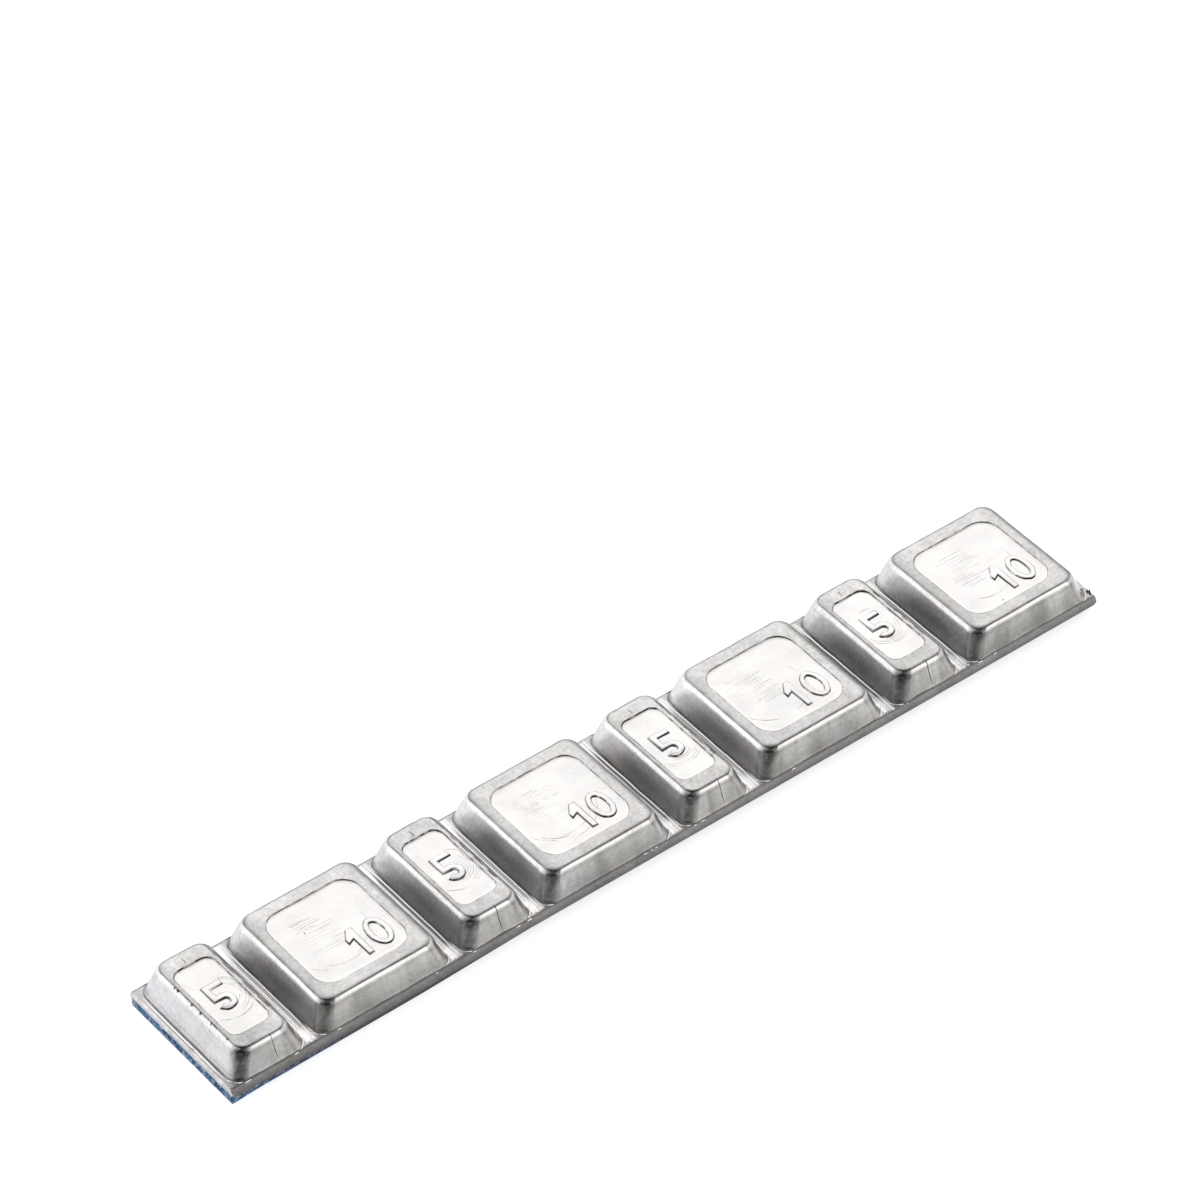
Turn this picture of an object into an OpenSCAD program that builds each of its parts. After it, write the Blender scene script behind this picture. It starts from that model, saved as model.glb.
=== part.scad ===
// Adhesive wheel balance weight: a cast strip of small and large segments on foam tape.
// The origin is under the middle of the strip, on the tape's stuck face. X runs along it and Z up.

/* [Strip] */
// Width across the strip
strip_w = 19; // [16:0.5:24]
// Thickness of the thin flange that joins the segments
flange_t = 1.0; // [0.6:0.1:1.6]
// Corner radius of the flange
flange_r = 0.7; // [0.2:0.1:1.5]
// Number of pairs, each one small and one large segment
pairs = 4; // [1:1:6]
// Flange left clear at each end of the strip
end_ledge = 0.7; // [0.4:0.1:3]
// How far the flange's sloping side stands out from the segments' feet
side_ledge = 0.55; // [0.3:0.05:1.5]
// Share of the flange's thickness that the sloping side takes
side_slope = 0.5; // [0.2:0.05:0.8]
// Bend gap between the feet of two segments
bend_gap = 1.4; // [0.8:0.1:4]

/* [Segments] */
// Foot length of a small segment
small_l = 9.8; // [9:0.1:14]
// Foot length of a large segment
large_l = 18.2; // [16:0.1:26]
// Height of a segment above the flange
segment_h = 3.5; // [2.5:0.1:5]
// How far each end face leans in from the foot to the rounded top edge
end_lean = 1.65; // [1:0.05:1.9]
// How far each side face leans in from the foot to the rounded top edge
side_lean = 1.05; // [0.8:0.05:1.9]
// Corner radius of a segment, seen from above
segment_r = 1.7; // [1:0.1:2.4]
// Radius of the rounded top edges
edge_r = 0.35; // [0.2:0.05:0.6]
// Height of the fillet at the foot of an end face
foot_h = 0.25; // [0.15:0.05:0.8]
// Width of the fillet at the foot of an end face
foot_w = 0.2; // [0.15:0.05:0.8]

/* [Marked panels] */
// Depth of the sunk panel on top of each segment
panel_d = 0.22; // [0.1:0.02:0.6]
// Flat rim between a small panel and the segment's end edges
small_rim = 0.28; // [0.1:0.02:0.6]
// Flat rim between a large panel and the segment's end edges
large_rim = 1.05; // [0.6:0.05:3]
// Flat rim between a small panel and the segment's side edges
small_side_rim = 1.75; // [1:0.05:3]
// Flat rim between a large panel and the segment's side edges
large_side_rim = 1.35; // [1:0.05:3]
// Corner radius of a small panel
small_panel_r = 1.25; // [0.5:0.05:2]
// Corner radius of a large panel
large_panel_r = 2.3; // [0.5:0.1:4]

/* [Numerals] */
// Height that the numerals stand up from the panel
numeral_h = 0.18; // [0.1:0.02:0.5]
// Size of the numerals on the large panels
large_numeral = 4.5; // [3:0.1:6]
// Size of the numeral on the small panels
small_numeral = 4.4; // [3.5:0.1:5]
// Width of the strokes
stroke = 0.85; // [0.4:0.05:0.9]
// Space between two numerals
numeral_gap = 0.6; // [0.3:0.1:1.2]
// Clear space between the large numerals and the end rim
numeral_inset_x = 1.05; // [0.5:0.05:2]
// Clear space between the large numerals and the near side rim
numeral_inset_y = 1.15; // [0.8:0.05:2]

/* [Foam tape] */
// Thickness of the tape
tape_t = 1.1; // [0.6:0.1:2]
// How far the tape stops short of the strip's near side
tape_near_gap = 0.95; // [0.4:0.05:2]
// The same at the left end, where the tape is wider
tape_corner_gap = 0.3; // [0.1:0.05:2]
// How far the tape stops short of the strip's far side
tape_far_gap = 0.35; // [0.1:0.05:2]
// How far the tape stops short of each end
tape_end_gap = 0.15; // [0.1:0.05:2]

/* [Hidden] */
$fn = 32;
// Faces cut through by this much so that no skin is left
over = 0.05;
// Thickness of the plates that a blend runs between
leaf = 0.01;
pair_l = small_l + large_l + 2 * bend_gap;
strip_l = pairs * pair_l - bend_gap + 2 * end_ledge;
foot_width = strip_w - 2 * side_ledge;
flange_z = tape_t;
foot_z = flange_z + flange_t;
top_z = foot_z + segment_h;
// Numeral proportions, as shares of the numeral's height
zero_share = 0.63;
five_share = 0.58;
bowl_share = 0.58;
flag_share = 0.19;
drop_share = 0.28;
// Share of the strip's length over which the tape narrows
narrow_share = 0.3;
// Depth at which the end fillets stay inside the side walls
tuck = 0.03;

// Rectangle with rounded corners, centred
module round_rect(length, width, radius) {
    r = max(min(radius, length / 2 - leaf, width / 2 - leaf), leaf);
    hull()
        for (x = [-1, 1], y = [-1, 1])
            translate([x * (length / 2 - r), y * (width / 2 - r)])
                circle(r = r);
}

// One thin section of a segment: drawn in by inset from the given length and width
module section(length, width, radius, z) {
    translate([0, 0, z])
        linear_extrude(leaf)
            round_rect(length, width, radius);
}

// Segment body: leaning walls, a fillet at the foot of each end face and a rounded top edge
module segment_body(length) {
    wall_l = length - 2 * foot_w;
    top_l = length - 2 * end_lean;
    top_w = foot_width - 2 * side_lean;
    shoulder = segment_h - edge_r;
    // Foot fillets in two steps
    for (step = [0, 1]) {
        low = step == 0 ? 0 : 0.55;
        high = step == 0 ? 0.55 : 0.9;
        z_low = foot_h * (step == 0 ? 0 : 0.3);
        z_high = foot_h * (step == 0 ? 0.3 : 1);
        hull() {
            section(length - 2 * foot_w * low, foot_width - 2 * (tuck + side_lean * z_low / shoulder),
                segment_r, z_low);
            section(length - 2 * foot_w * high, foot_width - 2 * (tuck + side_lean * z_high / shoulder),
                segment_r, z_high);
        }
    }
    // Walls and top edge are convex, so one blend makes them
    hull() {
        section(wall_l, foot_width, segment_r, 0);
        for (a = [0, 30, 60, 90])
            section(top_l - 2 * edge_r * (1 - cos(a)), top_w - 2 * edge_r * (1 - cos(a)),
                segment_r, segment_h - leaf - edge_r * (1 - sin(a)));
    }
}

// Figure one: a stem with a slanting flag
module figure_one(size) {
    flag_w = size * flag_share;
    drop = size * drop_share;
    middle = flag_w + stroke / 2;
    low = size - drop - stroke;
    translate([flag_w, 0])
        square([stroke, size]);
    polygon([[0, low], [0, size - drop], [flag_w, size], [middle, size], [middle, low + stroke / 2],
        [flag_w, low + stroke / 2]]);
}

// Figure nought: an upright oval ring
module figure_zero(size) {
    width = size * zero_share;
    translate([width / 2, size / 2])
        difference() {
            scale([width / size, 1])
                circle(d = size);
            scale([(width - 2 * stroke) / (size - 2 * stroke), 1])
                circle(d = size - 2 * stroke);
        }
}

// Figure five: a top bar, a stem and an open bowl
module figure_five(size) {
    width = size * five_share;
    bowl = size * bowl_share;
    translate([0, size - stroke])
        square([width, stroke]);
    translate([0, bowl - stroke])
        square([stroke, size - bowl + stroke]);
    translate([width - bowl / 2, bowl / 2])
        difference() {
            circle(d = bowl);
            circle(d = bowl - 2 * stroke);
            translate([-bowl, 0])
                square([bowl, bowl / 2 - stroke]);
        }
    translate([0, bowl - stroke])
        square([width - bowl / 2, stroke]);
}

// Segment with its sunk panel, standing on the flange at x
module segment(x, length, rim, side_rim, panel_r) {
    panel_l = length - 2 * (end_lean + edge_r + rim);
    panel_w = foot_width - 2 * (side_lean + edge_r + side_rim);
    translate([x, 0, foot_z]) {
        difference() {
            segment_body(length);
            translate([0, 0, segment_h - panel_d])
                linear_extrude(panel_d + over)
                    round_rect(panel_l, panel_w, panel_r);
        }
        translate([0, 0, segment_h - panel_d - over])
            linear_extrude(numeral_h + over)
                children();
    }
}

// Small segment with the figure five in the middle of its panel
module small_segment(x) {
    segment(x, small_l, small_rim, small_side_rim, small_panel_r)
        translate([-small_numeral * five_share / 2, -small_numeral / 2])
            figure_five(small_numeral);
}

// Large segment with the figures one and nought low in the right corner of its panel
module large_segment(x) {
    one_w = large_numeral * flag_share + stroke;
    zero_w = large_numeral * zero_share;
    panel_right = large_l / 2 - end_lean - edge_r - large_rim;
    panel_near = foot_width / 2 - side_lean - edge_r - large_side_rim;
    segment(x, large_l, large_rim, large_side_rim, large_panel_r)
        translate([panel_right - numeral_inset_x - zero_w - numeral_gap - one_w,
                numeral_inset_y - panel_near]) {
            figure_one(large_numeral);
            translate([one_w + numeral_gap, 0])
                figure_zero(large_numeral);
        }
}

// Flange whose long sides slope out from the segments' feet
module flange() {
    upright = flange_t * (1 - side_slope);
    hull() {
        linear_extrude(upright)
            round_rect(strip_l, strip_w, flange_r);
        linear_extrude(flange_t)
            round_rect(strip_l - 2 * leaf, foot_width + 2 * tuck, flange_r);
    }
}

// Cast metal: flange and segments in one piece
module weight_strip() {
    color([0.76, 0.76, 0.74]) {
        translate([0, 0, flange_z])
            flange();
        for (i = [0 : pairs - 1]) {
            start = end_ledge - strip_l / 2 + i * pair_l;
            small_segment(start + small_l / 2);
            large_segment(start + small_l + bend_gap + large_l / 2);
        }
    }
}

// Foam tape under the flange, wider at the left end
module foam_tape() {
    end = strip_l / 2 - tape_end_gap;
    near = -strip_w / 2;
    far = strip_w / 2 - tape_far_gap;
    color([0.24, 0.40, 0.63])
        linear_extrude(tape_t)
            polygon([[-end, near + tape_corner_gap], [strip_l * narrow_share - end, near + tape_near_gap],
                [end, near + tape_near_gap], [end, far], [-end, far]]);
}

weight_strip();
foam_tape();
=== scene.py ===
"""Stick-on wheel balance weight: a cast strip of marked segments on blue foam tape."""
import logging
import math
import random
from collections.abc import Callable, Sequence
from dataclasses import dataclass, field, replace
from enum import Enum, IntEnum

import bpy
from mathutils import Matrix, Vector, noise


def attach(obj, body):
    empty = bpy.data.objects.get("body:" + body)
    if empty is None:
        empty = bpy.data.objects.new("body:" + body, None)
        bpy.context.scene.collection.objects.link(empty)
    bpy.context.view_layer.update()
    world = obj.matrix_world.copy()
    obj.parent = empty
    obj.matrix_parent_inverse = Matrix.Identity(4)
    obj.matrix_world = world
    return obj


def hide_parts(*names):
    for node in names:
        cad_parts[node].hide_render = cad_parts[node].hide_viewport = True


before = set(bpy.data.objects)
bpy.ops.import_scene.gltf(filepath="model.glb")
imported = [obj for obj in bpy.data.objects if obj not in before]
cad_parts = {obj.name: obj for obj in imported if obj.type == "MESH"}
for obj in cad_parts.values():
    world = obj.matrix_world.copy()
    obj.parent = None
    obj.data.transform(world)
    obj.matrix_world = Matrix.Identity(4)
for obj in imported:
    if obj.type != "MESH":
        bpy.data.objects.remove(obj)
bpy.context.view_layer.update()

MM = 0.001
LOG = logging.getLogger("balance_weight")
NOISE_SEED = 11

Point2 = tuple[float, float]
Colour = tuple[float, float, float]
Steps = tuple[int, int, int]

BLACK: Colour = (0.0, 0.0, 0.0)
WHITE: Colour = (1.0, 1.0, 1.0)
COAT_VALUES = ("tone", "soil_and_shade", "polish", "warmth")

# Sizes in millimetres that several pieces share
STRIP_LENGTH = 123.2
END_LEDGE = 0.7
WEB_GAP = 1.4
TAPE_TOP = 1.1
FOOT_Z = 2.1


# Shader expressions


class Wire:
    """A value in a shader, whose operators add Math nodes."""

    def __init__(self, shade: "Shade", socket: bpy.types.NodeSocket) -> None:
        """Hold a socket of a node tree.

        Args:
            shade: The tree that new nodes go into.
            socket: The output that carries the value.
        """
        self.shade = shade
        self.socket = socket

    def _math(self, operation: str, *terms: "Wire | float") -> "Wire":
        """Add one Math node from its operation and its inputs in order."""
        return self.shade.node("ShaderNodeMath", {"operation": operation}, dict(enumerate(terms)))

    def __add__(self, other: "Wire | float") -> "Wire":
        """Sum."""
        return self._math("ADD", self, other)

    __radd__ = __add__

    def __sub__(self, other: "Wire | float") -> "Wire":
        """Difference."""
        return self._math("SUBTRACT", self, other)

    def __rsub__(self, other: "Wire | float") -> "Wire":
        """Difference, with this value taken away."""
        return self._math("SUBTRACT", other, self)

    def __mul__(self, other: "Wire | float") -> "Wire":
        """Product."""
        return self._math("MULTIPLY", self, other)

    __rmul__ = __mul__

    def clamped(self, low: float = 0.0, high: float = 1.0) -> "Wire":
        """Keep the value between two limits."""
        return self._math("MAXIMUM", self._math("MINIMUM", self, high), low)

    def between(self, low: float, high: float) -> "Wire":
        """Rise smoothly from 0 at low to 1 at high."""
        inputs = {"Value": self, "From Min": low, "From Max": high}
        return self.shade.node("ShaderNodeMapRange", {"interpolation_type": "SMOOTHSTEP"}, inputs)


class Shade:
    """One node tree, and the calls that add to it."""

    def __init__(self, tree: bpy.types.NodeTree) -> None:
        """Empty a tree, of a material or of the world."""
        self.tree = tree
        tree.nodes.clear()

    def node(
        self,
        kind: str,
        settings: dict[str, object] | None = None,
        inputs: dict[str | int, object] | None = None,
        output: str | int = 0,
    ) -> Wire:
        """Add a node, set it up and feed it.

        Args:
            kind: The node's type name.
            settings: Properties that are set first.
            inputs: Values or wires by socket name or number.
            output: The socket that is handed back.

        Returns:
            The chosen output, or the first input of a node that has none.
        """
        made = self.tree.nodes.new(kind)
        for key, value in (settings or {}).items():
            setattr(made, key, value)
        for key, value in (inputs or {}).items():
            if isinstance(value, Wire):
                self.tree.links.new(value.socket, made.inputs[key])
            elif isinstance(value, tuple) and made.inputs[key].type == "RGBA":
                made.inputs[key].default_value = (*value, 1.0)
            else:
                made.inputs[key].default_value = value
        return Wire(self, made.outputs[output] if made.outputs else made.inputs[0])

    def painted(self, name: str) -> Wire:
        """Read a value that the mesh carries at its points."""
        return self.node("ShaderNodeAttribute", {"attribute_name": name}, output="Fac")

    def place(self) -> Wire:
        """Give the object's own coordinates in metres."""
        return self.node("ShaderNodeTexCoord", output="Object")

    def scaled(self, place: Wire, factor: Sequence[float]) -> Wire:
        """Multiply a vector by another, part by part."""
        return self.node("ShaderNodeVectorMath", {"operation": "MULTIPLY"}, {0: place, 1: factor})

    def along(self, way: Wire, aim: Sequence[float]) -> Wire:
        """Give the cosine between a direction and an aim of length 1."""
        return self.node("ShaderNodeVectorMath", {"operation": "DOT_PRODUCT"}, {0: way, 1: aim}, "Value")

    def grain(self, place: Wire, scale: float, detail: float = 3.0, rough: float = 0.55) -> Wire:
        """Add a noise of about 0 to 1 about a middle of 0.5."""
        inputs = {"Vector": place, "Scale": scale, "Detail": detail, "Roughness": rough}
        return self.node("ShaderNodeTexNoise", None, inputs)

    def blend(self, share: "Wire | float", first: object, second: object) -> Wire:
        """Mix two colours, the second by its share."""
        return self.node("ShaderNodeMix", {"data_type": "RGBA"}, {0: share, 6: first, 7: second}, 2)

    def bump(self, height: Wire, strength: float, distance: float) -> Wire:
        """Turn a height into a normal."""
        inputs = {"Height": height, "Strength": strength, "Distance": distance}
        return self.node("ShaderNodeBump", None, inputs)

    def principled(self, inputs: dict[str | int, object]) -> None:
        """Send a Principled shader with these inputs to the material's output."""
        surface = self.node("ShaderNodeBsdfPrincipled", None, inputs)
        self.node("ShaderNodeOutputMaterial", None, {"Surface": surface})


def new_material(name: str) -> tuple[bpy.types.Material, Shade]:
    """Make an empty material.

    Args:
        name: The material's name.

    Returns:
        The material and its node tree.
    """
    material = bpy.data.materials.new(name)
    material.use_nodes = True
    return material, Shade(material.node_tree)


# Finishes


@dataclass(frozen=True)
class CastMetal:
    """Bright as-cast metal, whose points carry how pale, soiled or painted with shade, polished and warm
    they are; the paleness also carries painted light and shade.
    """

    warm: Colour = (1.0, 0.975, 0.925)
    cool: Colour = (0.97, 0.955, 1.0)
    soil_and_shade: Colour = (0.03, 0.027, 0.025)
    rough: float = 0.34
    shine: float = 0.10
    cloud_scale: float = 320.0
    speck_scale: float = 2100.0
    streak_scale: float = 3000.0
    streak_stretch: tuple[float, float, float] = (0.1, 1.6, 0.6)
    wash_scale: float = 240.0
    wash_stretch: tuple[float, float, float] = (1.0, 0.4, 0.4)
    patch_scale: float = 190.0
    relief: float = 0.35
    relief_depth: float = 0.00004

    def material(self) -> bpy.types.Material:
        """Build the material.

        Returns:
            A metal that reads the values tone, soil, polish and warmth from the mesh.
        """
        material, shade = new_material("cast_metal")
        place = shade.place()
        tone, soil_and_shade, polish, warmth = (shade.painted(name) for name in COAT_VALUES)
        cloud = shade.grain(place, self.cloud_scale, 4.0)
        speck = shade.grain(place, self.speck_scale, 3.0, 0.75)
        streak = shade.grain(shade.scaled(place, self.streak_stretch), self.streak_scale)
        wash = shade.grain(shade.scaled(place, self.wash_stretch), self.wash_scale, 2.0)
        patch = shade.grain(place, self.patch_scale, 3.0, 0.7)
        grains = (wash - 0.5) * 0.5 + (cloud - 0.5) * 0.45 + (speck - 0.5) * (1.1 - polish * 0.9)
        level = (tone * (1 + grains * (1.1 - polish * 0.8) + (streak - 0.5) * polish * 0.2)).clamped()
        pits = speck.between(0.66, 0.74) * (0.5 - polish * 0.5)
        # Dark from real pits and dirt, and from the painted shade that the points carry
        grime_and_shade = (soil_and_shade * (0.55 + cloud * 0.9) + pits).clamped()
        warmer = (warmth + (patch - 0.5) * (1.8 - polish * 1.1)).clamped()
        clean = shade.blend(level, BLACK, shade.blend(warmer, self.cool, self.warm))
        rough = self.rough - polish * self.shine + (streak - 0.5) * 0.12 + grime_and_shade * 0.2
        height = speck * (1 - polish * 0.75) + streak * polish * 0.2
        shade.principled({
            "Base Color": shade.blend(grime_and_shade, clean, self.soil_and_shade),
            "Metallic": 1.0,
            "Roughness": rough.clamped(0.12, 0.9),
            "Normal": shade.bump(height, self.relief, self.relief_depth),
        })
        return material


@dataclass(frozen=True)
class TapeFoam:
    """Blue closed-cell foam with paler and darker cells, grey where its points carry painted shade."""

    deep: Colour = (0.02, 0.06, 0.17)
    mid: Colour = (0.09, 0.23, 0.46)
    pale: Colour = (0.62, 0.72, 0.85)
    shadow_grey: Colour = (0.12, 0.115, 0.12)
    rough: float = 0.82
    gloss: float = 0.3
    cell_scale: float = 3200.0
    cloud_scale: float = 1700.0
    relief: float = 0.6
    relief_depth: float = 0.00012

    def material(self) -> bpy.types.Material:
        """Build the material.

        Returns:
            A matt foam with cells of about a fifth of a millimetre.
        """
        material, shade = new_material("foam_tape")
        place = shade.place()
        inputs = {"Vector": place, "Scale": self.cell_scale, "Randomness": 1.0}
        cells = shade.node("ShaderNodeTexVoronoi", None, inputs)
        cloud = shade.grain(place, self.cloud_scale, 3.0, 0.75)
        light = cloud.between(0.48, 0.56) * (1 - cells.between(0.3, 0.65))
        base = shade.blend(cloud.between(0.38, 0.53), self.deep, self.mid)
        foam = shade.blend(light, base, self.pale)
        shade.principled({
            # Painted shade turns the foam grey where the points carry it
            "Base Color": shade.blend(shade.painted("soil_and_shade"), foam, self.shadow_grey),
            "Roughness": self.rough,
            "Normal": shade.bump(cells, self.relief, self.relief_depth),
            "Specular IOR Level": self.gloss,
        })
        return material


# Numbers and outlines


class Side(IntEnum):
    """The ways that the four walls of a segment face, in degrees from +X."""

    RIGHT = 0
    FAR = 90
    LEFT = 180
    NEAR = -90


def clamp(value: float, low: float = 0.0, high: float = 1.0) -> float:
    """Keep a number between two limits."""
    return max(low, min(high, value))


def wobble(x: float, y: float, z: float) -> float:
    """Read a smooth noise of about -1 to 1 at a place."""
    return noise.noise(Vector((x, y, z)))


def bell(off: float, spread: float) -> float:
    """Fall from 1 at no distance to about 0 at twice the spread."""
    return math.exp(-((off / spread) ** 2))


def aimed(way: float, aim: float, spread: float) -> float:
    """Fall from 1 where an angle in degrees meets an aim to about 0 at twice the spread."""
    return bell((way - aim + 180) % 360 - 180, spread)


def patchy(x: float, y: float, size: float, seed: float, low: float = -0.25, high: float = 0.3) -> float:
    """Give a share that comes and goes over patches.

    Args:
        x: Place along X in millimetres.
        y: Place along Y.
        size: The patches' width.
        seed: A place in the noise.
        low: The noise's value at which the share is 0.
        high: The value at which it is 1.

    Returns:
        The share, from 0 to 1.
    """
    t = clamp((wobble(x / size, y / size, seed) - low) / (high - low))
    return t * t * (3 - 2 * t)


def partway(first: Point2, second: Point2, share: float) -> Point2:
    """Give the place at a share of the way from one point to another."""
    (ax, ay), (bx, by) = first, second
    return ax + (bx - ax) * share, ay + (by - ay) * share


def arc(cx: float, cy: float, radius: float, start: float, end: float, count: int) -> list[Point2]:
    """Lay points along an arc, from one angle in degrees to another."""
    angles = [math.radians(start + (end - start) * k / (count - 1)) for k in range(count)]
    return [(cx + radius * math.cos(a), cy + radius * math.sin(a)) for a in angles]


def rounded_outline(half_l: float, half_w: float, radius: float, steps: Steps) -> list[Point2]:
    """Lay points round a rectangle with round corners.

    Args:
        half_l: Half its length along X.
        half_w: Half its width along Y.
        radius: The corners' radius.
        steps: Points per corner, per side along X and per side along Y.

    Returns:
        The points, anticlockwise from the right end of the near side's corner.
    """
    corner, along, across = steps
    r = min(radius, half_l, half_w)
    turns = ((1, -1, -90, across), (1, 1, 0, along), (-1, 1, 90, across), (-1, -1, 180, along))
    bends = [
        arc(sx * (half_l - r), sy * (half_w - r), r, start, start + 90, corner)
        for sx, sy, start, _ in turns
    ]
    outline: list[Point2] = []
    for index, bend in enumerate(bends):
        straight = turns[index][3]
        ahead = bends[(index + 1) % 4][0]
        outline += bend
        outline += [partway(bend[-1], ahead, k / straight) for k in range(1, straight)]
    return outline


def facing(outline: Sequence[Point2]) -> list[float]:
    """Work out the outward angles of an anticlockwise outline.

    Args:
        outline: The points of a closed outline.

    Returns:
        The angle in degrees from +X at each point.
    """
    ways: list[float] = []
    for i in range(len(outline)):
        ax, ay = outline[i - 1]
        bx, by = outline[(i + 1) % len(outline)]
        ways.append(math.degrees(math.atan2(ax - bx, by - ay)))
    return ways


def offset_outline(outline: Sequence[Point2], inset: float) -> list[Point2]:
    """Draw an anticlockwise outline in by the same amount all round.

    Args:
        outline: The points of a closed outline.
        inset: How far each point moves inward.

    Returns:
        The new points.
    """
    moved: list[Point2] = []
    for i, (x, y) in enumerate(outline):
        ax, ay = outline[i - 1]
        bx, by = outline[(i + 1) % len(outline)]
        first = Vector((x - ax, y - ay)).normalized()
        second = Vector((bx - x, by - y)).normalized()
        inward = Vector((-first.y - second.y, first.x + second.x))
        spread = max(0.35, inward.length / 2)
        inward.normalize()
        moved.append((x + inward.x * inset / spread, y + inward.y * inset / spread))
    return moved


# Mesh building


@dataclass(frozen=True)
class Coat:
    """What the metal's finish reads at a point, painted light and shade included."""

    # The paleness carries painted light and shade as well as the metal's colour; the value after it carries
    # dirt and painted shade.
    tone: float = 0.5
    soil_and_shade: float = 0.0
    polish: float = 0.0
    warmth: float = 0.5

    def toward(self, other: "Coat", share: float) -> "Coat":
        """Mix with another coat by its share."""
        keep = 1 - share
        return Coat(*(getattr(self, key) * keep + getattr(other, key) * share for key in COAT_VALUES))


CoatRule = Callable[[float, float, float], Coat]


def placed(name: str, data: bpy.types.ID) -> bpy.types.Object:
    """Put a mesh, a light or a camera into the scene.

    Args:
        name: The object's name.
        data: What it shows.

    Returns:
        The object.
    """
    made = bpy.data.objects.new(name, data)
    bpy.context.collection.objects.link(made)
    return made


class Skin:
    """Points in millimetres with their coats, and faces, that become one mesh."""

    def __init__(self) -> None:
        """Start empty."""
        self.points: list[Vector] = []
        self.coats: list[Coat] = []
        self.faces: list[tuple[int, ...]] = []

    def point(self, x: float, y: float, z: float, coat: Coat) -> int:
        """Add a point.

        Args:
            x: Its place along X.
            y: Its place along Y.
            z: Its height.
            coat: Its coat.

        Returns:
            Its number.
        """
        self.points.append(Vector((x, y, z)))
        self.coats.append(coat)
        return len(self.points) - 1

    def ring(self, outline: Sequence[Point2], z: float, coat: Coat | CoatRule) -> list[int]:
        """Add a level ring of points.

        Args:
            outline: The ring's points, anticlockwise from above.
            z: Its height.
            coat: One coat, or a rule that gives it for the way that a point faces, its x and its y.

        Returns:
            The points' numbers.
        """
        if isinstance(coat, Coat):
            return [self.point(x, y, z, coat) for x, y in outline]
        return [self.point(x, y, z, coat(way, x, y)) for (x, y), way in zip(outline, facing(outline))]

    def bridge(self, low: list[int], high: list[int]) -> None:
        """Join two rings of equal length, facing outward where high lies above low."""
        self.faces += zip(low, low[1:] + low[:1], high[1:] + high[:1], high)

    def cap(self, ring: list[int], upward: bool = True) -> None:
        """Close a ring with one face."""
        self.faces.append(tuple(ring if upward else reversed(ring)))

    def fan(self, ring: list[int], middle: int) -> None:
        """Close a ring from above with triangles to a middle point."""
        self.faces += [(a, b, middle) for a, b in zip(ring, ring[1:] + ring[:1])]

    def loft(self, rings: list[list[int]]) -> None:
        """Close the lowest ring from below and join each ring to the next.

        Args:
            rings: Rings of equal length, from the bottom up.
        """
        self.cap(rings[0], upward=False)
        for low, high in zip(rings, rings[1:]):
            self.bridge(low, high)

    def sweep(self, sections: list[list[int]]) -> None:
        """Join the upright sections of a bar and close its ends.

        Args:
            sections: Rings of equal length, clockwise as seen along the bar.
        """
        self.cap(sections[0])
        for last, ring in zip(sections, sections[1:]):
            self.bridge(ring, last)
        self.cap(sections[-1], upward=False)

    def ridge(self, path: Sequence[Sequence[float]], width: float, height: float, coat: Coat) -> None:
        """Lay a fine raised line that runs out at both ends.

        Args:
            path: Places along it in millimetres, on the surface.
            width: Its full width.
            height: How far its crest stands up.
            coat: Its coat.
        """
        spots = [Vector(q) for q in path]
        end = len(spots) - 1
        sunk = -0.05
        sections: list[list[int]] = []
        for i, spot in enumerate(spots):
            ahead, behind = spots[min(i + 1, end)], spots[max(i - 1, 0)]
            side = Vector((behind.y - ahead.y, ahead.x - behind.x, 0.0)).normalized()
            full = min(1.0, 0.15 + 6 * min(i / end, 1 - i / end))
            half, rise = side * width * full / 2, height * full
            section = ((1, sunk), (-1, sunk), (-1, 0.0), (-0.4, rise), (0.4, rise), (1, 0.0))
            corners = [(spot + half * out, up) for out, up in section]
            sections.append([self.point(q.x, q.y, q.z + up, coat) for q, up in corners])
        self.sweep(sections)

    def roughen(self, size: float, depth: float, seed: float, top: float = math.inf) -> None:
        """Move the points a little, as cast surfaces wander.

        Args:
            size: The width of a bump in millimetres.
            depth: The most that a point moves.
            seed: A place in the noise.
            top: A height that no point may pass.
        """
        shift = Vector((seed, seed * 0.37, -seed))
        for p in self.points:
            p += noise.noise_vector(p / size + shift) * depth
            p.z = min(p.z, top)

    def move(self, x: float, y: float, z: float) -> None:
        """Shift every point.

        Args:
            x: How far along X.
            y: How far along Y.
            z: How far up.
        """
        step = Vector((x, y, z))
        for p in self.points:
            p += step

    def piece(
        self, name: str, material: bpy.types.Material, slot: str, sharp: float = 50.0
    ) -> bpy.types.Object:
        """Make the mesh object, and let it ride on the part.

        Args:
            name: The piece's name.
            material: Its finish.
            slot: A material slot's name, which is not used.
            sharp: The angle between faces, in degrees, above which an edge is sharp.

        Returns:
            The object.
        """
        mesh = bpy.data.meshes.new(name)
        mesh.from_pydata([p * MM for p in self.points], [], self.faces)
        for key in COAT_VALUES:
            layer = mesh.attributes.new(key, "FLOAT", "POINT")
            layer.data.foreach_set("value", [getattr(coat, key) for coat in self.coats])
        mesh.materials.append(material)
        mesh.shade_smooth()
        mesh.set_sharp_from_angle(angle=math.radians(sharp))
        mesh.update()
        made = placed(name, mesh)
        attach(made, "root")
        LOG.info("%s: %d points, %d faces", name, len(self.points), len(self.faces))
        return made


# The casting


class SegmentKind(Enum):
    """The two lengths of segment."""

    SMALL = "small"
    LARGE = "large"


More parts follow.
